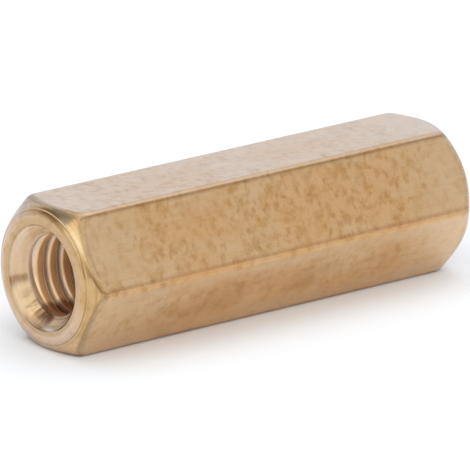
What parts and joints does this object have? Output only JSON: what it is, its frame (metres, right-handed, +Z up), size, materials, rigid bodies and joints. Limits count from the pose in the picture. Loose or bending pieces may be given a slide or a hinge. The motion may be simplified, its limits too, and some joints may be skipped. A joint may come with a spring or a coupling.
{
  "type": "hex standoff",
  "caption": "Female to female hexagonal spacer turned from solid bar, threaded through its length, with countersunk mouths and chamfered ends.",
  "frame": {"origin": "under the middle of the bar, on the surface that its lower flat rests on", "axes": "+X along the bar and its thread, +Z up from the lower flat, +Y towards a long corner"},
  "size_m": [0.015, 0.0052, 0.0045],
  "materials": {
    "brass": "drawn flats and turned ends, lightly tarnished with small brown flecks"
  },
  "bodies": {
    "root": {"standoff": "brass"}
  },
  "joints": []
}
